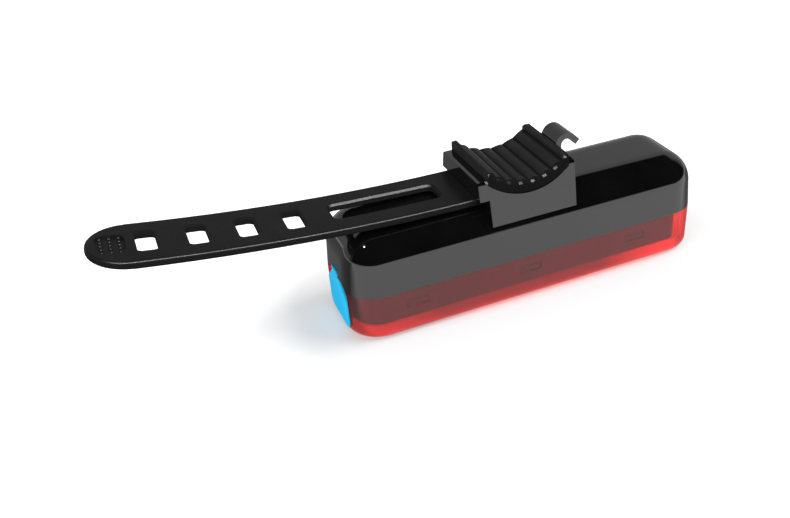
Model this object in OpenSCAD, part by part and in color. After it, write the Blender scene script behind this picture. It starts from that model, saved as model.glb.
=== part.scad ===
// Rechargeable bicycle rear light with a strap mount, in millimetres.
// The clear lens lies face down on Z = 0, the light runs along X, and the socket end is at -X.
// Origin: centre of the flat face of the lens.

/* [Body] */
// Length of the light body
body_l = 90; // [86:0.5:120]
// Width of the light body at the joint line
body_w = 25; // [23.4:0.1:30]
// Height of the light body, from the lens face to the housing top
body_h = 24.7; // [23.8:0.1:30]
// Corner radius in plan; the rounded top edge takes up the same depth
corner_r = 7.9; // [6.5:0.1:9]
// Height of the joint line between lens and housing
split_z = 11.3; // [11:0.1:12.6]
// How far the housing walls lean in, in degrees
wall_lean = 4; // [0:0.5:6]
// Wall thickness of lens and housing
wall = 1.8; // [1.5:0.05:2.2]
// Thickness of the lens face
lens_floor = 2; // [1.2:0.1:2.4]
// Radius round the edge of the lens face
lens_round = 2.2; // [1.5:0.05:3]
// How far the lens wall leans in at its foot
lens_draft = 0.05; // [0:0.05:0.5]
// Height of the tongue on the lens rim
tongue_h = 1.2; // [0.9:0.1:1.6]
// Height of the seal above the tongue
seal_t = 0.8; // [0.5:0.05:1]
// Clearance between fixed pieces that fit together
fit_gap = 0.1; // [0.05:0.01:0.15]

/* [Inner frame] */
// Height of the frame's lower edge
frame_z = 2.8; // [2.5:0.1:3.2]
// Wall thickness of the frame
frame_wall = 1.2; // [0.9:0.1:1.4]
// Gap between frame and lens wall
frame_gap = 0.5; // [0.4:0.05:0.8]
// Clear length of lens beyond the frame at the button end
frame_end_gap = 3.2; // [2.4:0.1:4.5]
// Thickness of the deck over the circuit board
deck_t = 1.2; // [1.1:0.1:1.4]
// Length of a clip window
window_l = 5.5; // [4:0.1:8]
// Height of a clip window
window_h = 2; // [1.6:0.1:2.4]
// Spacing of the clip windows
window_pitch = 28.4; // [20:0.25:29]

/* [Light and battery] */
// Thickness of the circuit boards
board_t = 1; // [0.8:0.1:1.2]
// Depth of the reflector
reflector_h = 2.8; // [2.7:0.1:3.2]
// Number of light-emitting diodes
led_count = 6; // [3:1:6]
// Spacing of the diodes
led_pitch = 11.4; // [10.8:0.1:11.8]
// Radius of a reflector cup at the lens side
cup_r = 4.9; // [4:0.1:5.2]
// Length of the battery cell
cell_l = 44; // [30:0.5:46]
// Width of the battery cell
cell_w = 16.6; // [12:0.1:17]
// Thickness of the battery cell
cell_t = 8; // [5:0.1:10]
// Diameter of the battery leads
lead_d = 1.2; // [0.8:0.1:1.4]

/* [Charging socket] */
// Width of the socket shell
socket_w = 7.5; // [7:0.1:8]
// Height of the socket shell
socket_h = 2.6; // [2.4:0.1:2.7]
// Depth of the socket shell
socket_l = 5.6; // [5:0.1:6.2]
// Depth from the end of the body to the socket, filled by the cover and its stem
recess_d = 2.3; // [2.1:0.1:2.6]
// Width of the cover
cover_w = 13; // [12.4:0.1:13.6]
// Height of the cover
cover_h = 11.2; // [10.8:0.1:11.4]
// Thickness of the cover
cover_t = 1; // [0.8:0.05:1.1]
// Width of the tether that holds the cover
tether_w = 3.2; // [2.4:0.1:4.5]

/* [Button] */
// Width of the power button
button_w = 8; // [6:0.1:9]
// Height of the power button
button_h = 4; // [3.4:0.1:4.4]
// How far the button stands out of the end wall
button_out = 0.4; // [0.2:0.1:0.9]
// Travel of the button
button_travel = 0.4; // [0.2:0.05:0.5]

/* [Screws] */
// Radius of the screw shanks
screw_r = 0.95; // [0.8:0.05:1]
// Radius of the screw heads
head_r = 1.8; // [1.6:0.05:1.9]
// Height of the screw heads
head_h = 1.4; // [1:0.1:1.5]

/* [Bracket] */
// Length of the saddle block
saddle_l = 21.6; // [21:0.1:24]
// Place of the saddle's middle, measured from the body's middle
saddle_x = -0.4; // [-4:0.1:4]
// Width of the saddle at its top
saddle_top_w = 19.1; // [18.4:0.1:21]
// How much each sloping side of the saddle widens for each millimetre down
saddle_slope = 0.2; // [0.18:0.01:0.26]
// Height of the saddle's end walls over the housing
saddle_h = 6.3; // [6:0.1:7.5]
// How far the saddle reaches down the housing's rounded edge
saddle_drop = 4; // [3:0.1:4.2]
// Thickness of the saddle's floor under the cradle
saddle_floor = 1.65; // [1.4:0.05:2.2]
// Length of the bar that bridges the strap
bar_l = 2.3; // [1.8:0.1:3.5]
// Width of the strap hook
hook_w = 6.8; // [5:0.1:7]
// Inner radius of the hook's curl
hook_r = 1.3; // [1.1:0.05:1.5]
// Thickness of the hook
hook_t = 1.5; // [1.1:0.05:1.6]
// Length of the hook's straight tip
hook_tip = 2.1; // [1.2:0.1:2.6]

/* [Rubber pad] */
// Radius of the smallest post that the ribs touch all along
post_r = 12.5; // [12:0.1:13]
// Number of ribs
rib_count = 6; // [5:1:7]
// Angle from rib to rib
rib_step = 13.1; // [11.5:0.1:13.4]
// Radius of a rib's crest
rib_r = 2.3; // [2.1:0.1:3.4]
// Thickness of the pad under the ribs
pad_t = 2.05; // [1.8:0.05:2.4]
// Width of the pad
pad_w = 19.8; // [18:0.1:20.4]
// Height of the pad's end fins above the saddle
fin_h = 2; // [1:0.1:3]
// Thickness of the pad's end fins
fin_t = 1.4; // [0.9:0.1:1.6]

/* [Strap] */
// Width of the strap
strap_w = 16.4; // [15:0.1:16.8]
// Thickness of the strap
strap_t = 1.8; // [1.5:0.05:2.2]
// Length of the strap that lies outside the saddle
strap_reach = 82; // [72:0.1:110]
// Radius of the strap's upward curve
strap_bend = 480; // [300:10:900]
// Radius along the strap's edges
strap_edge = 0.6; // [0.3:0.05:0.7]
// Number of hook holes
hole_count = 4; // [2:1:5]
// Spacing of the hook holes
hole_pitch = 9.8; // [8:0.05:10.4]
// Length of a hook hole
hole_l = 3.9; // [3.5:0.1:4.6]
// Width of a hook hole, across the strap
hole_w = 7.6; // [7.2:0.1:8.4]
// Length of the long slot
slot_l = 24.4; // [15:0.1:28]
// Width of the long slot
slot_w = 6.4; // [5:0.1:8]
// Bevel round the holes and the slot
hole_bevel = 0.4; // [0.1:0.05:0.6]

/* [Hidden] */
$fn = 64;
eps = 0.01;

// Colours
red_clear = [0.85, 0.05, 0.05, 0.55];
gloss_black = [0.05, 0.05, 0.055];
soft_black = [0.12, 0.12, 0.125];
cover_blue = [0.1, 0.62, 0.9];
board_green = [0.05, 0.3, 0.15];
metal = [0.75, 0.76, 0.78];
white_part = [0.92, 0.92, 0.88];

// Inside of the shells
in_l = body_l - 2 * wall;
in_w = body_w - 2 * wall;
in_r = corner_r - wall;
roof_z = body_h - wall;
seal_z = split_z + tongue_h;
seal_top = seal_z + seal_t;
lean_tan = tan(wall_lean);
top_r = (corner_r - (body_h - split_z) * lean_tan) / (1 - lean_tan);
arch_z = body_h - top_r;
lip_t = wall / 2;
tongue_t = wall - lip_t - fit_gap;

// Inner frame, circuit board and deck
frame_l = in_l - frame_gap - frame_end_gap;
frame_x = (frame_end_gap - frame_gap) / -2;
frame_w = in_w - 2 * frame_gap;
frame_r = in_r - frame_gap;
frame_end_r = 2.6;
frame_x0 = frame_x - frame_l / 2;
frame_x1 = frame_x + frame_l / 2;
frame_top = seal_z + 0.6;
reflector_z = frame_z + 0.2;
board_z = reflector_z + reflector_h;
deck_z = board_z + board_t;
deck_top = deck_z + deck_t;
board_w = frame_w - 2 * frame_wall - 0.6;
board_x0 = frame_x0 + frame_wall + fit_gap;
window_z = board_z + board_t / 2;
window_x = -1.1;

// Charging socket and its cover: the cover lies flush in a pocket in the end walls
port_x = -body_l / 2;
socket_r = 0.6;
socket_wall = 0.3;
blade_w = 4;
blade_t = 0.6;
socket_x = port_x + recess_d;
socket_z = window_z;
bezel_h = 8;
bezel_r = 2;
stem_w = socket_w + 0.5;
stem_h = socket_h + 2;
stem_gap = 0.4;
stem_r = 1.1;
stem_x = socket_x - 0.2;
bezel_w = stem_w + 2 * stem_gap + 2;
cover_proud = 0.1;
cover_x = port_x - cover_proud;
cover_z = socket_z + 0.3;
cover_gap = 0.25;
cover_r = 2.4;
cover_lip = 0.3;
cover_top = cover_z + cover_h / 2;
pocket_x = cover_x + cover_t + 0.05;
hinge_r = cover_t / 2;
hinge_x = cover_x + hinge_r;
hinge_z = cover_top + 0.05 + hinge_r;
tether_t = 0.6;
anchor_t = 0.35;
anchor_w = tether_w + 2.4;
anchor_rise = 0.5;
tether_z = max(hinge_z + hinge_r, seal_top) + 0.12;
tether_inner_x = port_x + wall + 0.3;

// Button, switch and upright board
end_x = body_l / 2;
button_gap = 0.2;
seat_rim = 1.5;
button_z = seal_top + 0.5 + button_h / 2;
seat_x = end_x - wall - 0.9;
flange_t = 0.8;
flange_rim = 0.8;
stud_l = 1;
stud_r = 1.2;
flange_x = seat_x - fit_gap - flange_t;
plunger_x = flange_x - stud_l;
plunger_r = 1.05;
plunger_out = button_travel + 0.35;
plunger_in = 0.6;
switch_x = plunger_x - plunger_out;
switch_h = 3.2;
switch_w = 4.5;
upright_x = switch_x - switch_h - board_t;
upright_w = 15;
guide_side = 1;
guide_gap = 0.4;
upright_top = button_z + 3.4;
header_l = 2.1;
header_x = upright_x - 0.4 - header_l / 2;
header_h = 2;
pin_w = 0.5;
pin_pitch = 2.54;
board_x1 = upright_x - 0.1;

// Reflector cups and diodes
led_x = [for (i = [0:led_count - 1]) (i - (led_count - 1) / 2) * led_pitch];
led_t = 0.9;
led_l = 3.5;
led_w = 2.8;
dome_r = 1.1;
cup_top_r = 2.6;
control_x = -12;
charge_x = socket_x + socket_l + 5.1;
resistor_x = 12;
resistor_step = 2;
capacitor_at = [5.5, 2.5];
control_size = [6, 5, 1];
charge_size = [4, 4, 0.9];
capacitor_size = [1.25, 2, 0.8];
resistor_size = [1, 2, 0.5];
deck_room = [[charge_x, 7, 8], [control_x, 14, 9], [resistor_x, 12, 6]];
reflector_x0 = socket_x + socket_l + 0.6;
reflector_x1 = board_x1 - 0.6;

// Battery
tape_t = 0.6;
tape_inset = [3, 1];
cell_r = 1.5;
cell_z = deck_top + tape_t;
cell_board_t = 1;
cell_board_inset = [1, 0.8];
cell_board_x = -cell_l / 2 - cell_board_t;
lead_bend = 2;
lead_x = cell_board_x - 1 - lead_bend;
lead_y = 2.2;
lead_z = cell_z + cell_t / 2;

// Screws: four through reflector, board and deck, three up through the roof into the saddle
clear_r = screw_r + 0.2;
pilot_r = screw_r + 0.05;
boss_r = 2.1;
pilot_spare = 0.8;
head_gap = 0.3;
boss_end = 14;
boss_x = body_l / 2 - boss_end;
boss_y = board_w / 2 - boss_r;
frame_screw_l = 8;
frame_screw_z = reflector_z + 2;
boss_top = roof_z + 0.1;

// Saddle, cradle and hook
seat_gap = 0.1;
saddle_screw_l = wall + seat_gap + 2.4;
saddle_x0 = saddle_x - saddle_l / 2;
saddle_x1 = saddle_x + saddle_l / 2;
saddle_z0 = body_h + seat_gap;
saddle_top = body_h + saddle_h;
end_wall = 1.65;
end_draft = 0.5;
saddle_edge = 0.5;
cradle_x0 = saddle_x0;
cradle_x1 = saddle_x1 - end_wall;
cradle_x = (cradle_x0 + cradle_x1) / 2;
rib_h = rib_r - sqrt(pow(rib_r, 2) - pow((post_r + rib_r) * sin(rib_step / 2), 2));
valley_r = post_r + rib_h;
pad_r = valley_r + pad_t;
rib_bevel = 0.9;
fin_bevel = 0.6;
cradle_r = pad_r + 0.05;
cradle_z = saddle_z0 + saddle_floor + cradle_r;
strap_gap = 0.1;
channel_top = saddle_z0 + 0.15 + strap_t + strap_gap;
channel_x1 = saddle_x0 + 5.4;
peg_x = saddle_x0 + 2.4;
peg_r = 1.9;
saddle_screws_at = [[peg_x, 0], [saddle_x + 6.5, -2.7], [saddle_x + 6.5, 2.7]];
hook_x = cradle_x1 + 0.2 + hook_t + hook_r;
hook_z = saddle_top + 1.1;

// Strap: flat in the saddle, then one long arc
strap_top = channel_top - strap_gap;
root_x = saddle_x0 + 0.4;
tip_r = strap_w / 2;
tip_s = strap_reach - tip_r;
grip_l = 5.5;
grip_w = 7.4;
grip_d = 0.5;
pip_r = 0.42;
pip_step = [1.75, 1.4];
grip_s = strap_reach - 2.1 - grip_l / 2;
hole_r = 1;
hole_s = grip_s - grip_l / 2 - 1.9 - hole_l / 2;
slot_s = 8.6 + slot_l / 2;

module span(length) rotate([90, 0, 90]) linear_extrude(length, center = true) children();

// Mirrors a profile about its axis at a given half width, and fills the middle
module widen(half, z0, z1)
  for (side = [0, 1]) mirror([side, 0]) {
    translate([half, 0]) children();
    translate([0, z0]) square([half + eps, z1 - z0]);
  }

// Sweeps a profile round a rectangle with rounded corners
module loaf(l, w, r, z0, z1) {
  for (x = [-1, 1], y = [-1, 1])
    translate([x * (l / 2 - r), y * (w / 2 - r), 0]) rotate_extrude() children();
  span(l - 2 * r) widen(w / 2 - r, z0, z1) children();
  rotate([0, 0, 90]) span(w - 2 * r) widen(l / 2 - r, z0, z1) children();
}

module plan(l, w, r) {
  square([l - 2 * r, w], center = true);
  square([l, w - 2 * r], center = true);
  for (x = [-1, 1], y = [-1, 1]) translate([x * (l / 2 - r), y * (w / 2 - r)]) circle(r);
}

// Rounded rectangle lying across X, as a plug or a hole in an end wall
module end_block(x0, x1, z, w, h, r)
  translate([(x0 + x1) / 2, 0, z]) span(x1 - x0) plan(w, h, r);

// Wall profile of the lens: a leaning wall with a rounded foot
module lens_profile(r, floor_z, top_z, foot_r) {
  translate([0, floor_z]) square([r - lens_draft - foot_r, foot_r + eps]);
  translate([r - lens_draft - foot_r, floor_z + foot_r]) intersection() {
    circle(foot_r);
    translate([0, -foot_r]) square(foot_r);
  }
  polygon([[0, floor_z + foot_r], [r - lens_draft, floor_z + foot_r], [r, top_z], [0, top_z]]);
}

// Wall profile of the housing: a leaning wall that runs into a fully rounded top edge
module housing_profile(grow, z0) {
  arc_r = top_r + grow;
  core_z = arch_z + arc_r / 2;
  polygon([[0, z0], [arc_r + (arch_z - z0) * lean_tan, z0], [arc_r, arch_z],
    [0.7 * arc_r, core_z], [0, core_z]]);
  translate([0, arch_z]) intersection() {
    circle(arc_r);
    square(arc_r);
  }
}

// Outer shape of the housing, grown or shrunk all round
module housing_shape(grow, z0)
  loaf(body_l + 2 * grow, body_w + 2 * grow, corner_r + grow, z0, body_h + grow)
    housing_profile(grow, z0);

// Closed loop lying in the joint between the shells
module rim(inset, thick, z0, z1)
  translate([0, 0, z0]) linear_extrude(z1 - z0) difference() {
    plan(body_l - 2 * inset, body_w - 2 * inset, corner_r - inset);
    plan(body_l - 2 * (inset + thick), body_w - 2 * (inset + thick), corner_r - inset - thick);
  }

// Pocket for the cover
module cover_pocket()
  end_block(port_x - 1, pocket_x, cover_z, cover_w + 2 * cover_gap, cover_h + 2 * cover_gap, 2.6);

// Room for the hinge above the cover, and the slot that the tether passes through
module tether_slot() {
  slab(port_x - 1, pocket_x, tether_w + 2 * cover_gap, cover_top - 1, tether_z + eps);
  slab(port_x - 1, port_x + wall + 1, tether_w + 2 * fit_gap, tether_z - 0.05,
    tether_z + tether_t + fit_gap);
}

module lens_cover() color(red_clear) difference() {
  union() {
    loaf(body_l, body_w, corner_r, 0, split_z) lens_profile(corner_r, 0, split_z, lens_round);
    rim(lip_t + fit_gap, tongue_t, split_z - eps, seal_z);
  }
  loaf(in_l, in_w, in_r, lens_floor, split_z + 1)
    lens_profile(in_r, lens_floor, split_z + 1, lens_round - wall / 2);
  translate([0, 0, split_z]) linear_extrude(tongue_h + 1) plan(in_l, in_w, in_r);
  end_block(port_x - 1, port_x + wall + 1, socket_z, bezel_w + 2 * fit_gap,
    bezel_h + 2 * fit_gap, bezel_r);
  cover_pocket();
}

module boss_places()
  for (x = [-boss_x, boss_x], y = [-boss_y, boss_y]) translate([x, y]) children();

module rear_housing() color(gloss_black) difference() {
  union() {
    difference() {
      union() {
        difference() {
          housing_shape(0, split_z);
          housing_shape(-wall, split_z - 1);
        }
        // Flat seat behind the button hole
        end_block(seat_x, end_x - wall / 2, button_z, button_w + 2 * seat_rim,
          button_h + 2 * seat_rim, button_h / 2 + seat_rim - 0.5);
      }
      rim(lip_t, 2 * wall, split_z - 1, seal_top);
    }
    boss_places() translate([0, 0, deck_top]) cylinder(h = boss_top - deck_top, r = boss_r);
    for (side = [-1, 1]) board_guide(side);
  }
  boss_places() translate([0, 0, deck_top - 1])
    cylinder(h = frame_screw_z + frame_screw_l - deck_top + 1 + pilot_spare, r = pilot_r);
  for (at = saddle_screws_at) translate([at[0], at[1], roof_z - 1])
    cylinder(h = wall + 2, r = clear_r);
  end_block(seat_x - 1, end_x + 1, button_z, button_w + 2 * button_gap,
    button_h + 2 * button_gap, button_h / 2);
  cover_pocket();
  tether_slot();
}

// Grooved rib that holds one edge of the upright board
module board_guide(side) {
  guide_y = upright_w / 2 - guide_side;
  guide_z = frame_top + guide_gap;
  difference() {
    translate([upright_x - guide_side, side > 0 ? guide_y : -in_w / 2 - 0.2, guide_z])
      cube([board_t + 2 * guide_side, in_w / 2 + 0.2 - guide_y, roof_z - in_r / 2 - guide_z]);
    translate([upright_x - fit_gap, -upright_w / 2 - fit_gap, guide_z - 1])
      cube([board_t + 2 * fit_gap, upright_w + 2 * fit_gap, upright_top + fit_gap - guide_z + 1]);
  }
}

module housing_seal() color(soft_black) rim(lip_t + fit_gap, tongue_t, seal_z, seal_top);

// Plan of the inner frame: round corners at the socket end, nearly square at the button end
module frame_plan(inset) {
  half_w = frame_w / 2 - inset;
  translate([frame_x, 0]) {
    translate([-frame_l / 4, 0])
      plan(frame_l / 2 - 2 * inset + eps, 2 * half_w, max(frame_r - inset, 0.5));
    translate([frame_l / 8, 0]) square([frame_l / 2, 2 * half_w], center = true);
    translate([frame_l / 4, 0])
      plan(frame_l / 2 - 2 * inset + eps, 2 * half_w, max(frame_end_r - inset, 0.2));
    square([frame_l / 2, 2 * half_w], center = true);
  }
}

module slab(x0, x1, w, z0, z1)
  translate([x0, -w / 2, z0]) cube([x1 - x0, w, z1 - z0]);

module inner_frame() color(soft_black) difference() {
  union() {
    difference() {
      translate([0, 0, frame_z]) linear_extrude(frame_top - frame_z) frame_plan(0);
      translate([0, 0, frame_z - 1]) linear_extrude(deck_z - frame_z + 1) frame_plan(frame_wall);
      translate([0, 0, deck_top]) linear_extrude(frame_top) frame_plan(frame_wall);
    }
    end_block(pocket_x, frame_x0 + frame_wall, socket_z, bezel_w, bezel_h, bezel_r);
  }
  // Recess for the cover's stem, and the way through for the socket
  end_block(port_x - 1, socket_x, socket_z, stem_w + 2 * stem_gap, stem_h + 2 * stem_gap,
    stem_r + stem_gap);
  end_block(port_x, frame_x0 + frame_wall + 1, socket_z, socket_w + 2 * fit_gap,
    socket_h + 2 * fit_gap, socket_r);
  slab(frame_x0 + frame_wall, socket_x + socket_l + fit_gap, socket_w + 1, deck_z - 1, deck_top + 1);
  // Clip windows in both long sides
  for (i = [-1:1], side = [-1, 1])
    translate([window_x + i * window_pitch, side * frame_w / 2, window_z])
      cube([window_l, 3 * frame_wall, window_h], center = true);
  // Openings in the deck for what stands on the board
  for (cut = deck_room)
    slab(cut[0] - cut[1] / 2, cut[0] + cut[1] / 2, cut[2], deck_z - 1, deck_top + 1);
  slab(header_x - header_l / 2 - 0.2, upright_x + board_t + 0.2, upright_w + 0.4, deck_z - 1,
    deck_top + 1);
  for (y = [-lead_y, lead_y]) translate([lead_x, y, deck_z - 1])
    cylinder(h = deck_t + 2, r = lead_d);
  boss_places() translate([0, 0, deck_z - 1]) cylinder(h = deck_t + 2, r = clear_r);
}

module reflector() color(metal) difference() {
  slab(reflector_x0, reflector_x1, board_w - 0.4, reflector_z, board_z);
  for (x = led_x) translate([x, 0, reflector_z - eps])
    cylinder(h = reflector_h + 2 * eps, r1 = cup_r, r2 = cup_top_r);
  boss_places() translate([0, 0, reflector_z - 1]) cylinder(h = reflector_h + 2, r = clear_r);
  boss_places() translate([0, 0, reflector_z - 1])
    cylinder(h = frame_screw_z - reflector_z + 1, r = head_r + head_gap);
}

module led_board() color(board_green) difference() {
  union() {
    intersection() {
      slab(board_x0, board_x1, board_w, board_z, deck_z);
      translate([0, 0, board_z]) linear_extrude(board_t) frame_plan(frame_wall + fit_gap);
    }
    for (i = [-1:1]) translate([window_x + i * window_pitch, 0, window_z])
      cube([window_l - 0.6, frame_w - 0.4, board_t], center = true);
  }
  boss_places() translate([0, 0, board_z - 1]) cylinder(h = board_t + 2, r = clear_r);
  slab(board_x0 - 1, socket_x + socket_l + fit_gap, socket_w + 2 * fit_gap, board_z - 1, deck_z + 1);
}

module leds() color(white_part) for (x = led_x) translate([x, 0, board_z]) {
  translate([0, 0, -led_t / 3]) cube([led_l, led_w, led_t * 2 / 3], center = true);
  translate([0, 0, -led_t]) cylinder(h = led_t / 2, r1 = dome_r - 0.2, r2 = dome_r);
}

module chip(x, y, size) translate([x - size[0] / 2, y - size[1] / 2, deck_z]) cube(size);

module controller_chip() color(soft_black) chip(control_x, 0, control_size);

module charge_chip() color(soft_black) chip(charge_x, 0, charge_size);

module board_capacitors() color(white_part)
  for (i = [-1, 1], j = [-1, 1])
    chip(control_x + i * capacitor_at[0], j * capacitor_at[1], capacitor_size);

module board_resistors() color(soft_black)
  for (i = [-2:2]) chip(resistor_x + i * resistor_step, 0, resistor_size);

module usb_socket() color(metal) difference() {
  end_block(socket_x, socket_x + socket_l, socket_z, socket_w, socket_h, socket_r);
  end_block(socket_x - 1, socket_x + socket_l - 0.8, socket_z, socket_w - 2 * socket_wall,
    socket_h - 2 * socket_wall, socket_r - 0.2);
}

module usb_tongue() color(soft_black)
  slab(socket_x + 0.6, socket_x + socket_l - 0.8, blade_w, socket_z - blade_t / 2,
    socket_z + blade_t / 2);

module usb_cover() color(cover_blue) {
  end_block(cover_x, cover_x + cover_t / 2, cover_z, cover_w - 2 * cover_lip,
    cover_h - 2 * cover_lip, cover_r - cover_lip);
  end_block(cover_x + cover_t * 0.4, cover_x + cover_t, cover_z, cover_w, cover_h, cover_r);
  end_block(cover_x + cover_t - eps, stem_x, socket_z, stem_w, stem_h, stem_r);
  translate([hinge_x, 0, hinge_z]) rotate([90, 0, 0])
    cylinder(h = tether_w, r = hinge_r, center = true);
  slab(cover_x + cover_t * 0.4, cover_x + cover_t, tether_w, cover_top - 0.5, hinge_z);
}

module cover_tether() color(cover_blue) {
  slab(cover_x, tether_inner_x + anchor_t, tether_w, tether_z, tether_z + tether_t);
  slab(tether_inner_x, tether_inner_x + anchor_t, anchor_w, tether_z - 0.05,
    tether_z + tether_t + anchor_rise);
}

module battery_cell() color([0.72, 0.74, 0.78])
  translate([0, 0, cell_z]) linear_extrude(cell_t) plan(cell_l, cell_w, cell_r);

module battery_tape() color(white_part)
  slab(tape_inset[0] - cell_l / 2, cell_l / 2 - tape_inset[0], cell_w - 2 * tape_inset[1], deck_top,
    cell_z);

module cell_board() color(board_green)
  slab(cell_board_x, cell_board_x + cell_board_t, cell_w - 2 * cell_board_inset[0],
    cell_z + cell_board_inset[1], cell_z + cell_t - cell_board_inset[1]);

module battery_leads() for (side = [-1, 1]) color(side > 0 ? "red" : "black")
  translate([0, side * lead_y, 0]) {
    translate([lead_x + lead_bend, 0, lead_z]) rotate([0, 90, 0])
      cylinder(h = cell_board_x - lead_x - lead_bend, r = lead_d / 2);
    translate([lead_x + lead_bend, 0, lead_z - lead_bend]) rotate([90, 0, 0]) rotate([0, 0, 90])
      rotate_extrude(angle = 90) translate([lead_bend, 0]) circle(lead_d / 2);
    translate([lead_x, 0, deck_z]) cylinder(h = lead_z - lead_bend - deck_z, r = lead_d / 2);
  }

module switch_board() color(board_green)
  slab(upright_x, upright_x + board_t, upright_w, deck_z, upright_top);

module tact_switch() color(soft_black) difference() {
  translate([upright_x + board_t, -switch_w / 2, button_z - switch_w / 2])
    cube([switch_h, switch_w, switch_w]);
  translate([switch_x - plunger_in - button_travel - 0.2, 0, button_z]) rotate([0, 90, 0])
    cylinder(h = switch_h, r = plunger_r + 0.05);
}

module switch_plunger() color(white_part)
  translate([switch_x - plunger_in, 0, button_z]) rotate([0, 90, 0])
    cylinder(h = plunger_x - switch_x + plunger_in - 0.03, r = plunger_r);

module power_button() color(soft_black) {
  end_block(flange_x, flange_x + flange_t, button_z, button_w + 2 * flange_rim,
    button_h + 2 * flange_rim - 0.2, button_h / 2);
  end_block(flange_x + eps, end_x + button_out, button_z, button_w, button_h,
    button_h / 2 - 0.1);
  translate([plunger_x, 0, button_z]) rotate([0, 90, 0]) cylinder(h = stud_l + eps, r = stud_r);
}

module pins(grow) for (i = [-1.5:1:1.5]) translate([header_x, i * pin_pitch, 0]) {
  translate([-pin_w / 2 - grow, -pin_w / 2 - grow, deck_z])
    cube([pin_w + 2 * grow, pin_w + 2 * grow, header_h + 1 + grow]);
  translate([-pin_w / 2, -pin_w / 2, deck_z + header_h + 1 - pin_w])
    cube([upright_x - header_x + pin_w / 2, pin_w, pin_w]);
}

module pin_header() color(soft_black) difference() {
  slab(header_x - header_l / 2, header_x + header_l / 2, 4 * pin_pitch, deck_z, deck_z + header_h);
  pins(0.02);
}

module header_pins() color(metal) pins(0);

module screw(length) {
  translate([0, 0, -head_h]) cylinder(h = head_h, r = head_r);
  translate([0, 0, -eps]) cylinder(h = length + eps, r = screw_r);
}

module frame_screws() color(metal)
  boss_places() translate([0, 0, frame_screw_z]) screw(frame_screw_l);

module saddle_screws() color(metal)
  for (at = saddle_screws_at) translate([at[0], at[1], roof_z]) screw(saddle_screw_l);

// Side view of the saddle: block, bar over the strap and end wall, with the cradle cut out
module saddle_side() difference() {
  union() {
    polygon([[saddle_x0, body_h - saddle_drop], [saddle_x1 - end_draft, body_h - saddle_drop],
      [saddle_x1, saddle_top], [saddle_x0, saddle_top]]);
    translate([saddle_x0 - bar_l, channel_top]) square([bar_l + eps, saddle_top - channel_top]);
  }
  intersection() {
    translate([cradle_x, cradle_z]) circle(cradle_r, $fn = 180);
    translate([cradle_x0, 0]) square([cradle_x1 - cradle_x0, 2 * cradle_z]);
  }
}

// End view of the saddle: sides that slope out towards the housing
module saddle_end() {
  top_y = saddle_top_w / 2;
  foot = saddle_h + saddle_drop;
  foot_y = top_y + saddle_slope * foot;
  for (side = [0, 1]) mirror([side, 0])
    polygon([[-eps, saddle_top], [top_y - saddle_edge, saddle_top], [top_y, saddle_top - saddle_edge],
      [foot_y, saddle_top - foot], [-eps, saddle_top - foot]]);
}

// Side view of the hook: stem, curl and straight tip that points down and out
module hook_side() {
  outer = hook_r + hook_t;
  translate([hook_x, hook_z]) {
    intersection() {
      difference() {
        circle(outer);
        circle(hook_r);
      }
      polygon([[0, 0], [-2 * outer, 0], [-2 * outer, 2 * outer], [2 * outer, 2 * outer]]);
    }
    rotate(45) translate([hook_r, -hook_tip]) square([hook_t, hook_tip + eps]);
    translate([-outer, saddle_top - hook_z - 1]) square([hook_t, hook_z - saddle_top + 1 + eps]);
  }
}

module across(width) rotate([90, 0, 0]) linear_extrude(width, center = true) children();

module mount_saddle() color(gloss_black) difference() {
  union() {
    intersection() {
      across(3 * body_w) saddle_side();
      span(4 * body_l) saddle_end();
    }
    across(hook_w) hook_side();
  }
  housing_shape(seat_gap, split_z);
  // Channel for the strap's root, open below, with the peg left standing in it
  difference() {
    slab(saddle_x0 - bar_l - 1, channel_x1, strap_w + 4 * strap_gap, body_h - 1, channel_top);
    translate([peg_x, 0, 0]) cylinder(h = saddle_top, r = peg_r);
  }
  for (at = saddle_screws_at) translate([at[0], at[1], body_h - 1])
    cylinder(h = saddle_screw_l - wall + 1.1, r = pilot_r);
}

// Side view of the pad: a curved sheet with round ribs and a fin at each end
module pad_side() {
  half_l = (cradle_x1 - cradle_x0) / 2 - 0.05;
  rib_c = post_r + rib_r;
  rib_end = rib_step * rib_count / 2;
  fin_foot = 0.2 - sqrt(pow(pad_r, 2) - pow(half_l, 2));
  fin_top = saddle_top + fin_h - cradle_z;
  translate([cradle_x, cradle_z]) {
    intersection() {
      union() {
        difference() {
          circle(pad_r, $fn = 180);
          circle(valley_r, $fn = 180);
        }
        for (i = [0:rib_count - 1]) rotate(-90 - rib_end + (i + 0.5) * rib_step)
          translate([rib_c, 0]) circle(rib_r);
      }
      translate([-half_l, -pad_r]) square([2 * half_l, pad_r]);
      circle(pad_r, $fn = 180);
    }
    for (side = [0, 1]) mirror([side, 0]) translate([half_l - fin_t, fin_foot]) {
      square([fin_t, fin_top - fin_foot - fin_t / 2]);
      translate([fin_t / 2, fin_top - fin_foot - fin_t / 2]) circle(fin_t / 2);
    }
  }
}

// Pad with the ends of its ribs and fins bevelled
module rubber_pad() color(soft_black) difference() {
  rib_zone = cradle_x1 - cradle_x0 - 2 * fin_t - 0.1;
  across(pad_w) pad_side();
  for (side = [0, 1]) mirror([0, side, 0]) {
    intersection() {
      translate([cradle_x, pad_w / 2, cradle_z]) rotate([90, 0, 0]) translate([0, 0, -eps])
        cylinder(h = rib_bevel, r1 = valley_r + 0.1, r2 = valley_r + 0.1 - rib_bevel);
      slab(cradle_x - rib_zone / 2, cradle_x + rib_zone / 2, 2 * pad_w, 0, cradle_z);
    }
    translate([cradle_x, pad_w / 2, saddle_top + fin_h]) rotate([45, 0, 0])
      cube([2 * saddle_l, 1.4 * fin_bevel, 3 * fin_bevel], center = true);
  }
}

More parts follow.
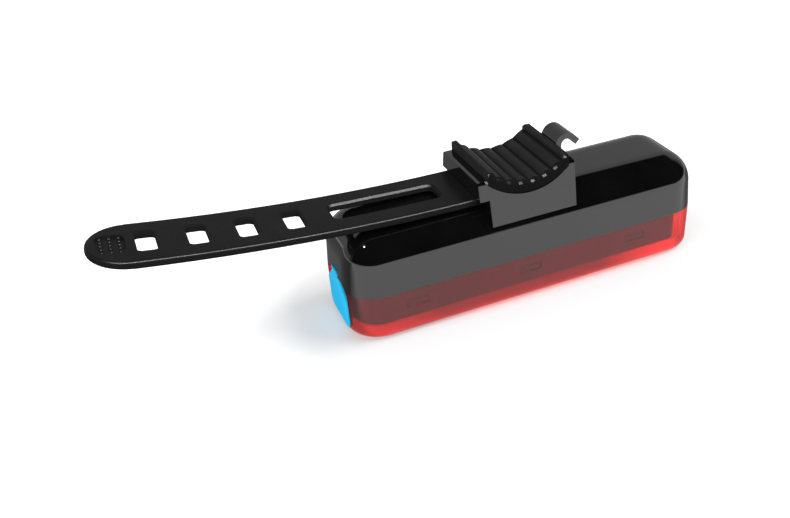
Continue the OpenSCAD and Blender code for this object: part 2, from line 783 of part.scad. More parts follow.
// Puts its children on the strap's top face, a distance s from the root, square to the strap
module on_strap(s)
  translate([root_x, 0, strap_top + strap_bend]) rotate([0, s / strap_bend * 180 / PI, 0])
    translate([0, 0, -strap_bend]) children();

module strap_section() {
  e = strap_edge;
  for (y = [e - strap_w / 2, strap_w / 2 - e], x = [e, strap_t - e]) translate([x, y]) circle(e);
  translate([0, e - strap_w / 2]) square([strap_t, strap_w - 2 * e]);
  translate([e, -strap_w / 2]) square([strap_t - 2 * e, strap_w]);
}

// Cuts a bevelled rectangular hole, measured at the waist
module strap_hole(l, w, r) {
  waist = strap_t / 2 - hole_bevel;
  translate([0, 0, -strap_t - 1]) linear_extrude(strap_t + 2) plan(l, w, r);
  for (side = [0, 1]) translate([0, 0, -strap_t / 2]) mirror([0, 0, side])
    loaf(l + 2 * hole_bevel, w + 2 * hole_bevel, r + hole_bevel, waist, strap_t / 2 + 1)
      polygon([[0, waist], [r, waist], [r + hole_bevel, strap_t / 2],
        [r + hole_bevel, strap_t / 2 + 1], [0, strap_t / 2 + 1]]);
}

module strap_tip() {
  skin = 0.03;
  end_r = tip_r - skin;
  end_t = strap_t - 2 * skin;
  translate([0, 0, skin - strap_t]) rotate([0, 0, 90]) rotate_extrude(angle = 180) {
    square([end_r - strap_edge, end_t]);
    translate([0, strap_edge]) square([end_r, end_t - 2 * strap_edge]);
    for (z = [strap_edge, end_t - strap_edge])
      translate([end_r - strap_edge, z]) circle(strap_edge);
  }
}

// Grip patch: a shallow recess with rows of round pips
module strap_grip() difference() {
  translate([0, 0, -grip_d]) linear_extrude(grip_d + 1) plan(grip_l, grip_w, 1.8);
  for (x = [-1:1], y = [-2:2]) translate([x * pip_step[0], y * pip_step[1], -grip_d]) sphere(pip_r);
}

module strap() color(soft_black) difference() {
  union() {
    translate([root_x, 0, strap_top + strap_bend]) rotate([90, 0, 0]) rotate([0, 0, -90])
      rotate_extrude(angle = -tip_s / strap_bend * 180 / PI, $fn = 360)
        translate([strap_bend, 0]) strap_section();
    on_strap(tip_s - 0.1) strap_tip();
    translate([channel_x1 - 0.2, 0, strap_top]) rotate([0, -90, 0]) rotate([0, 0, 180])
      linear_extrude(channel_x1 - 0.2 - root_x) strap_section();
  }
  for (i = [0:hole_count - 1]) on_strap(hole_s - i * hole_pitch) strap_hole(hole_l, hole_w, hole_r);
  on_strap(slot_s) strap_hole(slot_l, slot_w, 1.2);
  on_strap(grip_s) strap_grip();
  translate([peg_x, 0, 0]) cylinder(h = 2 * body_h, r = peg_r + strap_gap);
}

lens_cover();
rear_housing();
housing_seal();
inner_frame();
reflector();
led_board();
leds();
controller_chip();
charge_chip();
board_capacitors();
board_resistors();
usb_socket();
usb_tongue();
usb_cover();
cover_tether();
battery_cell();
battery_tape();
cell_board();
battery_leads();
switch_board();
tact_switch();
switch_plunger();
power_button();
pin_header();
header_pins();
frame_screws();
saddle_screws();
mount_saddle();
rubber_pad();
strap();
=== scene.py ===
import math
from functools import partial, reduce

import bmesh
import bpy
from mathutils import Matrix, Vector


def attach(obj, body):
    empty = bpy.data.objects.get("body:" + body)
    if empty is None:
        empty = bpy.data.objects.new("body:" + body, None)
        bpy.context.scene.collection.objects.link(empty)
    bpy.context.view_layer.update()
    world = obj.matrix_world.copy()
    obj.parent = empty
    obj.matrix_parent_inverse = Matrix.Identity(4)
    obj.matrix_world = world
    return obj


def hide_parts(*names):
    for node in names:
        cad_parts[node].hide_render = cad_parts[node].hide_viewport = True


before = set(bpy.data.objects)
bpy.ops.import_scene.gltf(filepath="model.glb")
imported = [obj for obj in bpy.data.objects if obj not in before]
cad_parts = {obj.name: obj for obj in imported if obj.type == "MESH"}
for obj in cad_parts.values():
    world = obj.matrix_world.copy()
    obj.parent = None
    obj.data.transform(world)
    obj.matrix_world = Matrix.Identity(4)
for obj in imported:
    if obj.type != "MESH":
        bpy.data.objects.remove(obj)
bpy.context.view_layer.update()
MM = 0.001

# Colours, linear
BLACK = (0.0035, 0.0035, 0.0038)
RUBBER = (0.0028, 0.0028, 0.003)
# Rubber in two copies: a lighter one from wear and painted sheen, and a darker one that is painted shade
WORN_AND_SHEEN_RUBBER = (0.009, 0.009, 0.0092)
PAINTED_SHADE_RUBBER = (0.0006, 0.0006, 0.0006)
SKY = (0.018, 0.57, 1.0)
RED = (0.93, 0.012, 0.010)
STEEL = (0.62, 0.62, 0.6)
CHROME = (0.85, 0.85, 0.86)
GOLD = (0.9, 0.66, 0.25)
FRAME_GREY = (0.044, 0.047, 0.047)
CHIP = (0.015, 0.015, 0.016)
RESISTOR = (0.02, 0.02, 0.022)
CERAMIC = (0.36, 0.25, 0.15)
SWITCH = (0.03, 0.03, 0.03)
IVORY = (0.55, 0.55, 0.52)
PHOSPHOR = (0.8, 0.74, 0.5)
FOIL = (0.55, 0.57, 0.6)
TAPE = (0.62, 0.36, 0.05)
WIRE = (0.35, 0.02, 0.015)
GREEN_MASK, GREEN_TRACK = (0.01, 0.09, 0.03), (0.03, 0.2, 0.06)
BLACK_MASK, BLACK_TRACK = (0.035, 0.036, 0.04), (0.06, 0.06, 0.06)

# Depths of surface relief, in metres, and how strongly grain is drawn
SMOOTH, POLISHED, GRAINED, ETCHED, CRINKLED = 0.00001, 0.000012, 0.00002, 0.00003, 0.00004
GRAIN_STRENGTH = 0.5

# Scales of noise: the broad mottling of the colour, and the grain of rubber. A stretch of EVEN
# leaves the noise alike in all directions.
BROAD, RUBBER_GRAIN = 140, 2200
EVEN = (1, 1, 1)

# Where on the noise the darker and the lighter colour are reached, and the shares of a
# roughness between which the gloss varies
MOTTLE_STOPS = (0.3, 0.7)
GLOSS_SHARES = (0.85, 1.2)

METAL = {"Metallic": 1.0}
FOILED = {"Metallic": 0.8}
SOFT_TOUCH = {"Specular IOR Level": 0.15}


def shade(colour, factor):
    return tuple(min(1.0, c * factor) for c in colour)


def grey(level):
    return (level, level, level)


class Graph:
    """A node tree, with short ways to add nodes and to join their sockets."""

    # Sockets of a Mix node: factor, A and B, and the result
    MIX = {"RGBA": (0, 6, 7, 2), "FLOAT": (0, 2, 3, 0)}

    def __init__(self, tree):
        self.nodes, self.links = tree.nodes, tree.links
        self.nodes.clear()

    def put(self, node, inputs):
        """Gives each input a value, or joins it to another node's output."""
        for key, value in inputs.items():
            if isinstance(value, bpy.types.NodeSocket):
                self.links.new(value, node.inputs[key])
            else:
                node.inputs[key].default_value = value

    def add(self, kind, inputs=None, **settings):
        node = self.nodes.new(kind)
        for key, value in settings.items():
            setattr(node, key, value)
        self.put(node, inputs or {})
        return node

    def math(self, operation, *values):
        return self.add("ShaderNodeMath", dict(enumerate(values)), operation=operation).outputs["Value"]

    def product(self, *values):
        return reduce(partial(self.math, "MULTIPLY"), values)

    def size_of(self, value):
        return self.math("ABSOLUTE", value)

    def axes(self, vector):
        return self.add("ShaderNodeSeparateXYZ", {"Vector": vector}).outputs

    def spread(self, value, low, high, start=0.35, end=0.65):
        """Maps start to end onto low to high, and holds the value there outside them."""
        ends = {"From Min": start, "From Max": end, "To Min": low, "To Max": high}
        return self.add("ShaderNodeMapRange", {"Value": value, **ends}).outputs["Result"]

    def mix(self, kind, factor, a, b):
        share, first, second, result = self.MIX[kind]
        node = self.add("ShaderNodeMix", {share: factor, first: a, second: b}, data_type=kind)
        return node.outputs[result]

    def blend(self, factor, a, b):
        """From colour a to b. A colour is a triple, or another node's output."""
        a, b = (c if isinstance(c, bpy.types.NodeSocket) else (*c, 1) for c in (a, b))
        return self.mix("RGBA", factor, a, b)

    def ramp(self, value, stops):
        node = self.add("ShaderNodeValToRGB", {"Fac": value})
        elements = node.color_ramp.elements
        while len(elements) < len(stops):
            elements.new(0.5)
        for element, (at, colour) in zip(elements, stops):
            element.position = at
            element.color = (*colour, 1)
        return node.outputs["Color"]


class Surface(Graph):
    """A material of one Principled shader, with noise and relief placed by the object's own metres."""

    def __init__(self, name):
        self.material = bpy.data.materials.new(name)
        self.material.use_nodes = True
        super().__init__(self.material.node_tree)
        self.shader = self.add("ShaderNodeBsdfPrincipled")
        self.add("ShaderNodeOutputMaterial", {"Surface": self.shader.outputs["BSDF"]})
        place = self.add("ShaderNodeTexCoord")
        self.place, self.normal = place.outputs["Object"], place.outputs["Normal"]

    def noise(self, scale, detail=3, stretch=EVEN):
        at = self.add("ShaderNodeMapping", {"Vector": self.place, "Scale": stretch}).outputs["Vector"]
        return self.add("ShaderNodeTexNoise", {"Vector": at, "Scale": scale, "Detail": detail}).outputs["Fac"]

    def mottle(self, noise, colour, low, high):
        """The colour, varied by the noise between two shares of its own brightness."""
        return self.ramp(noise, list(zip(MOTTLE_STOPS, (shade(colour, low), shade(colour, high)))))

    def gloss(self, noise, rough):
        return self.spread(noise, *(rough * share for share in GLOSS_SHARES))

    def relief(self, height, strength, depth):
        bump = self.add("ShaderNodeBump", {"Height": height, "Strength": strength, "Distance": depth})
        return bump.outputs["Normal"]

    def finish(self, inputs):
        self.put(self.shader, inputs)
        return self.material


def moulded(name, colour, rough, vary=0.2, grain=2500, relief=0.0, stretch=EVEN, extra=None):
    """A moulded or machined surface: mottled colour, uneven gloss and fine grain."""
    g = Surface(name)
    broad, fine = g.noise(BROAD, detail=4, stretch=stretch), g.noise(grain, stretch=stretch)
    inputs = {"Base Color": g.mottle(broad, colour, 1 - vary, 1 + vary), "Roughness": g.gloss(fine, rough)}
    if relief:
        inputs["Normal"] = g.relief(fine, GRAIN_STRENGTH, relief)
    return g.finish({**inputs, **(extra or {})})


def scratched_black(name):
    """Gloss black plastic with faint lengthwise polishing marks."""
    g = Surface(name)
    broad, marks = g.noise(scale=90, detail=4), g.noise(scale=420, detail=5, stretch=(0.12, 1, 1))
    return g.finish({
        "Base Color": g.mottle(broad, BLACK, low=0.8, high=1.3),
        "Roughness": g.spread(marks, low=0.035, high=0.11, start=0.45, end=0.7),
        "Normal": g.relief(marks, strength=0.25, depth=POLISHED),
        "IOR": 1.5,
        "Specular IOR Level": 1.0,
    })


def sheen_and_shade_rubber(g, painted_shade, colour, rough, relief, specular):
    """Rubber with a grey satin from wear and painted sheen, and painted shade, dark and matt, where the mask
    says so.
    """
    broad, fine = g.noise(BROAD, detail=4), g.noise(RUBBER_GRAIN)
    return g.finish({
        "Base Color": g.blend(painted_shade, g.mottle(broad, colour, low=0.85, high=1.15), PAINTED_SHADE_RUBBER),
        "Roughness": g.math("MAXIMUM", g.gloss(fine, rough), painted_shade),
        "Normal": g.relief(fine, GRAIN_STRENGTH, relief),
        "Specular IOR Level": specular,
    })


# The pad: its cradle's centre, and the angle from rib to rib. RIBS_SHIFT keeps the count of ribs
# above 0. A rib runs from 0 to 1 with its crest at 0.5.
CRADLE_X, CRADLE_Z, RIB_STEP = -0.001225, 0.041788, math.radians(13.1)
RIBS_SHIFT, CREST = 10.0, 0.5
# Distances from the crest where the painted shade in the groove starts and where it is full
GROOVE_START, GROOVE_FULL = 0.36, 0.42
# A painted glint on each rib's bevelled end, lighter and glossy there: its middle and half width along
# the rib's count, and how far out it starts
PAINTED_GLINT_AT, PAINTED_GLINT_HALF, PAINTED_GLINT_Y = 0.3, 0.15, 0.0095
# How far a normal turns sideways on a side face, and on a bevel: past these the pad takes painted shade
SIDE_FACE, BEVEL = 0.95, 0.3


def ribbed_rubber(name):
    """The pad: lighter on the ribs, with wear and painted sheen, and painted shade in the grooves, on the
    bevelled ends and on the side faces.
    """
    g = Surface(name)
    at = g.axes(g.place)
    out, down = g.math("SUBTRACT", at["X"], CRADLE_X), g.math("SUBTRACT", CRADLE_Z, at["Z"])
    ribs = g.math("DIVIDE", g.math("ARCTAN2", out, down), RIB_STEP)
    rib = g.math("FRACT", g.math("ADD", ribs, RIBS_SHIFT))
    groove_shade = g.spread(g.size_of(g.math("SUBTRACT", rib, CREST)), 0.0, 1.0, GROOVE_START, GROOVE_FULL)
    sideways = g.size_of(g.axes(g.normal)["Y"])
    # Painted glint: one small lighter, glossy place on each rib's bevelled end
    near_glint = g.math("LESS_THAN", g.size_of(g.math("SUBTRACT", rib, PAINTED_GLINT_AT)), PAINTED_GLINT_HALF)
    mark = g.product(near_glint, g.math("GREATER_THAN", g.size_of(at["Y"]), PAINTED_GLINT_Y))
    end = g.product(g.math("GREATER_THAN", sideways, BEVEL), g.math("SUBTRACT", 1.0, mark))
    side_shade = g.math("GREATER_THAN", sideways, SIDE_FACE)
    # Painted shade in the grooves, on the side faces and on the bevelled ends
    painted_shade = g.math("MAXIMUM", groove_shade, g.math("MAXIMUM", side_shade, end))
    return sheen_and_shade_rubber(g, painted_shade, shade(WORN_AND_SHEEN_RUBBER, 2), rough=0.34, relief=SMOOTH, specular=0.04)


# The strap. Its punched holes lie between these x and this near its middle; a face counts as a
# hole's rim or as an edge where its normal's upright part is below these, and takes painted shade.
HOLES_FROM, HOLES_TO, HOLES_HALF = -0.0835, -0.045, 0.005
RIM, EDGE = 0.93, 0.4


def strap_rubber(name):
    """The strap: lighter on its flat faces, with wear and painted sheen, and painted shade on its edges'
    sides and in the holes.
    """
    g = Surface(name)
    at = g.axes(g.place)
    upright = g.size_of(g.axes(g.normal)["Z"])
    past_first = g.math("GREATER_THAN", at["X"], HOLES_FROM)
    before_last = g.math("LESS_THAN", at["X"], HOLES_TO)
    holes = g.product(past_first, before_last, g.math("LESS_THAN", g.size_of(at["Y"]), HOLES_HALF))
    hole_shade = g.product(g.math("LESS_THAN", upright, RIM), holes)
    # Painted shade on the edges' sides and on the holes' walls
    painted_shade = g.math("MAXIMUM", g.math("LESS_THAN", upright, EDGE), hole_shade)
    return sheen_and_shade_rubber(g, painted_shade, WORN_AND_SHEEN_RUBBER, rough=0.32, relief=GRAINED, specular=0.06)


def red_lens(name):
    """Clear red plastic: tinted all through, with a faint flow pattern from moulding."""
    g = Surface(name)
    flow, fine = g.noise(scale=60, detail=2, stretch=(0.3, 1, 1)), g.noise(scale=900, detail=2)
    return g.finish({
        "Base Color": g.mottle(flow, RED, low=0.97, high=1.03),
        "Roughness": g.spread(fine, low=0.02, high=0.05),
        "Normal": g.relief(flow, strength=0.15, depth=GRAINED),
        "IOR": 1.03,
        "Transmission Weight": 1.0,
        "Coat Weight": 1.0,
        "Coat IOR": 1.6,
        "Coat Roughness": 0.03,
    })


def circuit_board(name, mask, track):
    """Solder mask over copper, with tracks that show as slightly raised lines."""
    g = Surface(name)
    grid = g.add("ShaderNodeTexBrick", {
        "Vector": g.place,
        "Scale": 420,
        "Mortar Size": 0.06,
        "Mortar Smooth": 0.2,
        "Row Height": 0.4,
        "Color1": (*mask, 1),
        "Color2": (*shade(mask, 0.85), 1),
        "Mortar": (*track, 1),
    })
    return g.finish({
        "Base Color": grid.outputs["Color"],
        "Roughness": g.spread(g.noise(scale=1800), low=0.28, high=0.4),
        "Normal": g.relief(grid.outputs["Fac"], strength=0.4, depth=ETCHED),
    })


green_board = partial(circuit_board, mask=GREEN_MASK, track=GREEN_TRACK)
chip = partial(moulded, colour=CHIP, rough=0.45, grain=5000, relief=SMOOTH)
cover_rubber = partial(moulded, colour=SKY, rough=0.6, vary=0.05, grain=1800, relief=GRAINED,
                       extra=SOFT_TOUCH)
screw = partial(moulded, colour=STEEL, rough=0.25, vary=0.1, grain=1500, relief=SMOOTH, extra=METAL)

FINISHES = {
    "rear_housing": scratched_black,
    "mount_saddle": scratched_black,
    "lens_cover": red_lens,
    "inner_frame": partial(moulded, colour=FRAME_GREY, rough=0.35, vary=0.12, grain=1500, relief=GRAINED),
    "housing_seal": partial(moulded, colour=RUBBER, rough=0.5, grain=RUBBER_GRAIN, relief=GRAINED),
    "reflector": partial(moulded, colour=CHROME, rough=0.12, vary=0.04, grain=900, relief=SMOOTH,
                         extra=METAL),
    "led_board": partial(circuit_board, mask=BLACK_MASK, track=BLACK_TRACK),
    "cell_board": green_board,
    "switch_board": green_board,
    "leds": partial(moulded, colour=PHOSPHOR, rough=0.2, vary=0.08, grain=1500),
    "controller_chip": chip,
    "charge_chip": chip,
    "board_capacitors": partial(moulded, colour=CERAMIC, rough=0.4, vary=0.15, grain=4000, relief=SMOOTH),
    "board_resistors": partial(moulded, colour=RESISTOR, rough=0.4, grain=4000, relief=SMOOTH),
    "usb_socket": partial(moulded, colour=STEEL, rough=0.22, vary=0.06, grain=900, relief=SMOOTH,
                          stretch=(1, 0.1, 1), extra=METAL),
    "usb_tongue": partial(moulded, colour=CHIP, rough=0.4, grain=3000),
    "usb_cover": cover_rubber,
    "cover_tether": cover_rubber,
    "battery_cell": partial(moulded, colour=FOIL, rough=0.35, vary=0.08, grain=500, relief=CRINKLED,
                            extra=FOILED),
    "battery_tape": partial(moulded, colour=TAPE, rough=0.3, vary=0.1, grain=700, relief=GRAINED),
    "battery_leads": partial(moulded, colour=WIRE, rough=0.4, vary=0.15, grain=1500),
    "tact_switch": partial(moulded, colour=SWITCH, rough=0.4, vary=0.15),
    "switch_plunger": partial(moulded, colour=IVORY, rough=0.35, vary=0.08),
    "power_button": partial(moulded, colour=RUBBER, rough=0.45, relief=GRAINED),
    "pin_header": partial(moulded, colour=CHIP, rough=0.4),
    "header_pins": partial(moulded, colour=GOLD, rough=0.2, vary=0.05, grain=1500, extra=METAL),
    "frame_screws": screw,
    "saddle_screws": screw,
    "rubber_pad": ribbed_rubber,
    "strap": strap_rubber,
}

for node_name, finish in FINISHES.items():
    made = finish(node_name + "_finish")
    for material_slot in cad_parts[node_name].material_slots:
        material_slot.material = made


def outline(corners, steps=5):
    """A closed outline from (y, z, radius) corners, each corner rounded."""
    points = []
    for i, (y, z, radius) in enumerate(corners):
        here = Vector((y, z))
        before = (Vector(corners[i - 1][:2]) - here).normalized()
        after = (Vector(corners[(i + 1) % len(corners)][:2]) - here).normalized()
        reach = radius / math.tan(before.angle(after) / 2)
        start, end = here + before * reach, here + after * reach
        for k in range(steps + 1):
            t = k / steps
            points.append(start * (1 - t) ** 2 + here * 2 * t * (1 - t) + end * t ** 2)
    return points


def loft(bm, rings):
    """Skins a row of rings of equal length, in millimetres, and closes both ends."""
    rows = [[bm.verts.new(Vector(p) * MM) for p in ring] for ring in rings]
    for low, high in zip(rows, rows[1:]):
        for i in range(len(low)):
            j = (i + 1) % len(low)
            bm.faces.new((low[i], low[j], high[j], high[i]))
    bm.faces.new(rows[0][::-1])
    bm.faces.new(rows[-1])


def facing_x(points, x, inset, centre):
    """An outline set at one x and drawn in towards its centre by a share of its size."""
    return [(x, *(centre + (p - centre) * (1 - inset))) for p in points]


# The port cover, in millimetres. Its face is at COVER_X.
COVER_X = -45.1
# Its plate: corners as (y, z, radius), and steps as (depth behind the face, inset to the centre)
PLATE = [(-6.5, 8.6, 1.2), (-6.5, 1.0, 2.2), (6.5, 1.0, 2.2), (6.5, 8.6, 1.2),
         (2.7, 12.15, 0.8), (-2.7, 12.15, 0.8)]
PLATE_CENTRE = Vector((0, 6.6))
CROWN = [(1.0, 0.012), (0.94, 0), (0.38, 0), (0.24, 0.01),
         (0.14, 0.035), (0.07, 0.1), (0.02, 0.3), (0.0, 0.6)]
# Its plug: width, height, the z of its middle and corner radius, and steps as (x, inset)
PLUG_W, PLUG_H, PLUG_Z, PLUG_R = 8.0, 4.6, 6.3, 1.1
PLUG_STEPS = [(-42.9, 0.12), (-43.1, 0.03), (-43.3, 0), (COVER_X + 0.9, 0)]
# Its hinge barrel: the axis, its sides, and steps as (y, radius)
HINGE_X, HINGE_Z, HINGE_SIDES = COVER_X + 0.5, 12.75, 20
BARREL = [(-1.6, 0.36), (-1.48, 0.5), (-0.5, 0.5), (-0.4, 0.42),
          (0.4, 0.42), (0.5, 0.5), (1.48, 0.5), (1.6, 0.36)]
# The tab from the plate to the barrel: the x of its two faces, and steps as (half width, z)
TAB_FRONT, TAB_BACK = COVER_X + 0.42, COVER_X + 0.98
TAB_STEPS = [(1.6, 11.6), (1.5, 12.1), (1.5, 12.7)]
# An edge between faces that turn by more than this is sharp
SHARP = math.radians(40)


def port_cover():
    """The port cover: a crowned tongue that narrows towards its hinge, with the plug behind it."""
    bm = bmesh.new()
    plate = outline(PLATE)
    loft(bm, [facing_x(plate, COVER_X + deep, inset, PLATE_CENTRE) for deep, inset in CROWN])
    quarters = ((1, 1), (1, -1), (-1, -1), (-1, 1))
    plug = outline([(-s * PLUG_W / 2, t * PLUG_H / 2 + PLUG_Z, PLUG_R) for s, t in quarters])
    loft(bm, [facing_x(plug, x, inset, Vector((0, PLUG_Z))) for x, inset in PLUG_STEPS])
    angles = [2 * math.pi * k / HINGE_SIDES for k in range(HINGE_SIDES)]
    loft(bm, [[(HINGE_X + r * math.cos(a), y, HINGE_Z + r * math.sin(a)) for a in angles]
              for y, r in BARREL])
    loft(bm, [[(TAB_FRONT, y, z), (TAB_FRONT, -y, z), (TAB_BACK, -y, z), (TAB_BACK, y, z)]
              for y, z in TAB_STEPS])
    bmesh.ops.recalc_face_normals(bm, faces=bm.faces)
    mesh = bpy.data.meshes.new("port_cover")
    bm.to_mesh(mesh)
    bm.free()
    mesh.shade_smooth()
    mesh.set_sharp_from_angle(angle=SHARP)
    mesh.materials.append(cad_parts["usb_cover"].material_slots[0].material)
    piece = bpy.data.objects.new("port_cover", mesh)
    bpy.context.scene.collection.objects.link(piece)
    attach(piece, "usb_cover")
    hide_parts("usb_cover")


port_cover()


# Camera: found by fitting the corners of the housing, the saddle and the strap holes. Its place
# is in millimetres, its angles are in degrees, and its clip distances are in metres.
CAMERA_AT = (-81.89, -162.67, 119.98)
AZIMUTH, ELEVATION, ROLL = -23.59, 32.74, -2.65
FOCAL_PX, WIDTH_PX, SHIFT_PX = 882.6, 790, 80
SENSOR = 36
CLIP_NEAR, CLIP_FAR = 0.005, 50
az, el, roll = (math.radians(v) for v in (AZIMUTH, ELEVATION, ROLL))
forward = Vector((-math.sin(az) * math.cos(el), math.cos(az) * math.cos(el), -math.sin(el)))
side = forward.cross(Vector((0, 0, 1))).normalized()
above = side.cross(forward)
right = side * math.cos(roll) + above * math.sin(roll)
up = above * math.cos(roll) - side * math.sin(roll)
turn = Matrix((right, up, -forward)).transposed().to_4x4()
camera_data = bpy.data.cameras.new("camera")
camera_data.sensor_fit = "HORIZONTAL"
camera_data.sensor_width = SENSOR
camera_data.lens = FOCAL_PX / WIDTH_PX * SENSOR
camera_data.shift_x = -SHIFT_PX / WIDTH_PX
camera_data.clip_start = CLIP_NEAR
camera_data.clip_end = CLIP_FAR
camera = bpy.data.objects.new("camera", camera_data)
camera.matrix_world = Matrix.Translation(Vector(CAMERA_AT) * MM) @ turn
bpy.context.scene.collection.objects.link(camera)
bpy.context.scene.camera = camera


# Floor, in metres. FLOOR_ALBEDO is how pale it is, and FLOOR_GLOW what it adds in the picture.
FLOOR_HALF, FLOOR_DROP = 0.3, 0.00002
FLOOR_ALBEDO, FLOOR_GLOW = 0.7, 0.29
# The lens's footprint is a box of these half sizes, rounded out by LENS_CORNER. Its red light
# reaches GLOW_REACH past that and falls off by a power; along x it rises, and drops again.
LENS_CORE, LENS_CORNER, GLOW_REACH = (0.037, 0.0065), 0.0045, 0.0036
GLOW_FALL, GLOW_RISE, GLOW_DROP = 1.5, (-0.030, -0.012), (0.030, 0.040)
# The red light's colour, and the share of green and blue that the floor keeps in it
THROWN_RED, ROSY = (0.62, 0.28, 0.28), 0.6
# To reflections the floor darkens by DARK_SHARE, from DARK_FROM in front of the light's middle
# line back to that line. Between the two END_X that moves END_SHIFT further forward.
DARK_FROM, DARK_SHARE, END_X, END_SHIFT = 0.014, 0.8, (0.040, 0.046), 0.009
# How bright the floor is under the lens, from one UNDER_X to the other: painted shadow of the body in the
# middle, lighter towards the ends
UNDER_X = (-0.045, 0.045)
UNDER = [(0.0, grey(0.7)), (0.25, grey(0.2)), (0.72, grey(0.16)), (0.9, grey(0.95))]
# The shadow keeps near the light: further out the floor brightens to white in the picture
FAR_GLOW, SHADOW_FADE = 1.3, (0.0165, 0.034)


def floor_finish(name):
    """A white floor with the lens's red light on it. To reflections it is dark behind the light."""
    g = Surface(name)
    at = g.axes(g.place)
    past_core = [g.math("MAXIMUM", g.math("SUBTRACT", g.size_of(at[axis]), half), 0.0)
                 for axis, half in zip("XY", LENS_CORE)]
    beyond = g.add("ShaderNodeCombineXYZ", dict(zip("XY", past_core))).outputs["Vector"]
    away = g.add("ShaderNodeVectorMath", {0: beyond}, operation="LENGTH").outputs["Value"]

    path = g.add("ShaderNodeLightPath").outputs
    camera_ray, clear_ray = path["Is Camera Ray"], path["Is Transmission Ray"]
    glossy_ray = g.product(path["Is Glossy Ray"], g.math("SUBTRACT", 1.0, clear_ray))

    near = g.spread(away, 1.0, 0.0, LENS_CORNER, LENS_CORNER + GLOW_REACH)
    rise, drop = g.spread(at["X"], 0.0, 1.0, *GLOW_RISE), g.spread(at["X"], 1.0, 0.0, *GLOW_DROP)
    lit = g.product(g.math("POWER", near, GLOW_FALL), g.product(rise, drop))
    pale = g.blend(lit, grey(FLOOR_ALBEDO), (FLOOR_ALBEDO, FLOOR_ALBEDO * ROSY, FLOOR_ALBEDO * ROSY))

    past_end = g.product(g.spread(at["X"], 0.0, 1.0, *END_X), END_SHIFT)
    back = g.math("ADD", g.math("ADD", at["Y"], past_end), DARK_FROM)
    dark = g.math("MINIMUM", g.math("MAXIMUM", g.product(back, 1 / DARK_FROM), 0.0), 1.0)
    left = g.math("SUBTRACT", 1.0, g.product(dark, glossy_ray, DARK_SHARE))
    colour = g.add("ShaderNodeVectorMath", {0: pale, "Scale": left}, operation="SCALE").outputs["Vector"]

    # Painted shadow under the lens: dark in the middle, bright at the ends
    under = g.ramp(g.spread(at["X"], 0.0, 1.0, *UNDER_X), UNDER)
    inside = g.spread(away, 1.0, 0.0, LENS_CORNER - MM, LENS_CORNER)
    glow = g.blend(inside, g.blend(lit, grey(FLOOR_GLOW), THROWN_RED), under)
    seen = g.math("MAXIMUM", camera_ray, g.math("MAXIMUM", clear_ray, g.product(glossy_ray, left)))
    whitened = g.product(g.spread(away, 0.0, FAR_GLOW, *SHADOW_FADE), camera_ray)
    return g.finish({
        "Base Color": colour,
        "Roughness": 1.0,
        "Specular IOR Level": 0.0,
        "Emission Color": glow,
        "Emission Strength": g.math("ADD", seen, whitened),
    })


floor_corners = [(x * FLOOR_HALF, y * FLOOR_HALF, 0) for x, y in ((-1, -1), (1, -1), (1, 1), (-1, 1))]
floor_mesh = bpy.data.meshes.new("floor")
floor_mesh.from_pydata(floor_corners, [], [(0, 1, 2, 3)])
floor_mesh.materials.append(floor_finish("floor_finish"))
floor = bpy.data.objects.new("floor", floor_mesh)
floor.location.z = -FLOOR_DROP
bpy.context.scene.collection.objects.link(floor)


# World: an even fill, white to the camera and through the lens. Reflections see a dark studio
# that is white below the horizon, with one pale wall low down behind the object. WALL_TOP,
# WALL_SOFT and HORIZON are the upright part of a direction, and WALL_TURN is the part of it
# that points behind the object, where the wall is at its palest.
FILL = 0.6
WALL_TOP, WALL_SOFT, WALL_LIGHT, WALL_TURN = 0.70, 0.02, 0.4, 0.25
HORIZON = 0.01


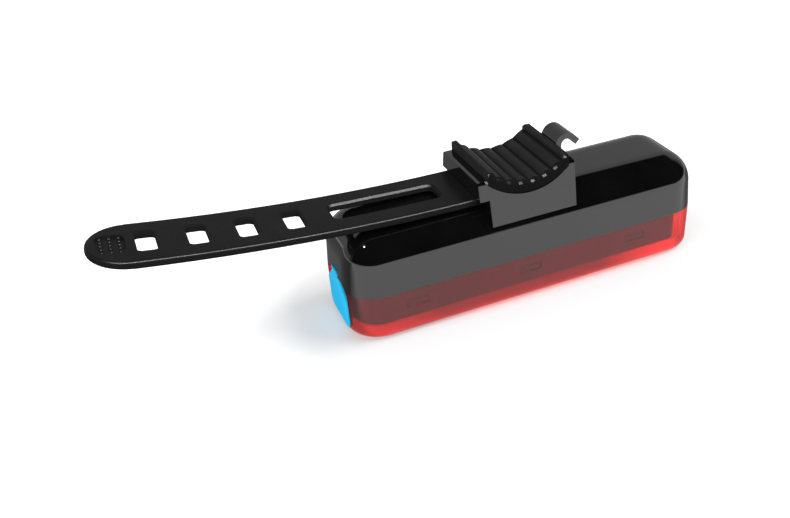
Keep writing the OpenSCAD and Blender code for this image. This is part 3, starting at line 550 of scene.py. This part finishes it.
def studio_world():
    world = bpy.data.worlds.new("studio")
    world.use_nodes = True
    g = Graph(world.node_tree)
    towards = g.axes(g.add("ShaderNodeTexCoord").outputs["Generated"])
    low_down = g.spread(towards["Z"], 1, 0, WALL_TOP - WALL_SOFT, WALL_TOP + WALL_SOFT)
    wall = g.product(low_down, g.spread(towards["Y"], 0, WALL_LIGHT, 0.0, WALL_TURN))
    reflected = g.math("MAXIMUM", wall, g.spread(towards["Z"], 1, 0, -HORIZON, 0.0))
    path = g.add("ShaderNodeLightPath").outputs
    clear = g.math("MAXIMUM", path["Is Camera Ray"], path["Is Transmission Ray"])
    strength = g.mix("FLOAT", clear, g.mix("FLOAT", path["Is Glossy Ray"], FILL, reflected), 1.0)
    back = g.add("ShaderNodeBackground", {"Color": (1, 1, 1, 1), "Strength": strength})
    g.add("ShaderNodeOutputWorld", {"Surface": back.outputs["Background"]})
    return world


bpy.context.scene.world = studio_world()


def lamp(name, kind, come_from, distance=0.0, **settings):
    """A lamp that shines on the object from a direction. A sun needs no distance."""
    data = bpy.data.lights.new(name, kind)
    for key, value in settings.items():
        setattr(data, key, value)
    placed = bpy.data.objects.new(name, data)
    back = Vector(come_from).normalized()
    aim = back.to_track_quat("Z", "Y").to_matrix().to_4x4()
    placed.matrix_world = Matrix.Translation(back * distance) @ aim
    bpy.context.scene.collection.objects.link(placed)
    return placed


# A broad soft key above and to the right, and a low soft fill on the cover's side. Neither shows
# in reflections.
soft_key = lamp("soft_key", "SUN", (1.0, -0.25, 1.1), energy=1.9, angle=math.radians(36))
side_fill = lamp("side_fill", "SUN", (-1.0, -0.35, 0.2), energy=1.9, angle=math.radians(60))
for broad_lamp in (soft_key, side_fill):
    broad_lamp.visible_glossy = False

# Two lamps that only show in reflections: a glint on the housing's corner, and a strip that
# draws a line of light along the rubber's edges
glint = lamp("glint", "SUN", (-0.464, -0.207, 0.861), energy=1.0, angle=math.radians(1.6))
strip = lamp("strip", "AREA", (0.0, -0.52, 0.80), distance=0.5, energy=36, shape="RECTANGLE",
             size=0.8, size_y=0.03)
for bright_lamp in (glint, strip):
    bright_lamp.visible_diffuse = False
    bright_lamp.visible_transmission = False
strip.visible_camera = False
rubber_pieces = bpy.data.collections.new("rubber_pieces")
for node_name in ("strap", "rubber_pad"):
    rubber_pieces.objects.link(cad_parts[node_name])
strip.light_linking.receiver_collection = rubber_pieces

bpy.context.scene.view_settings.view_transform = "Standard"
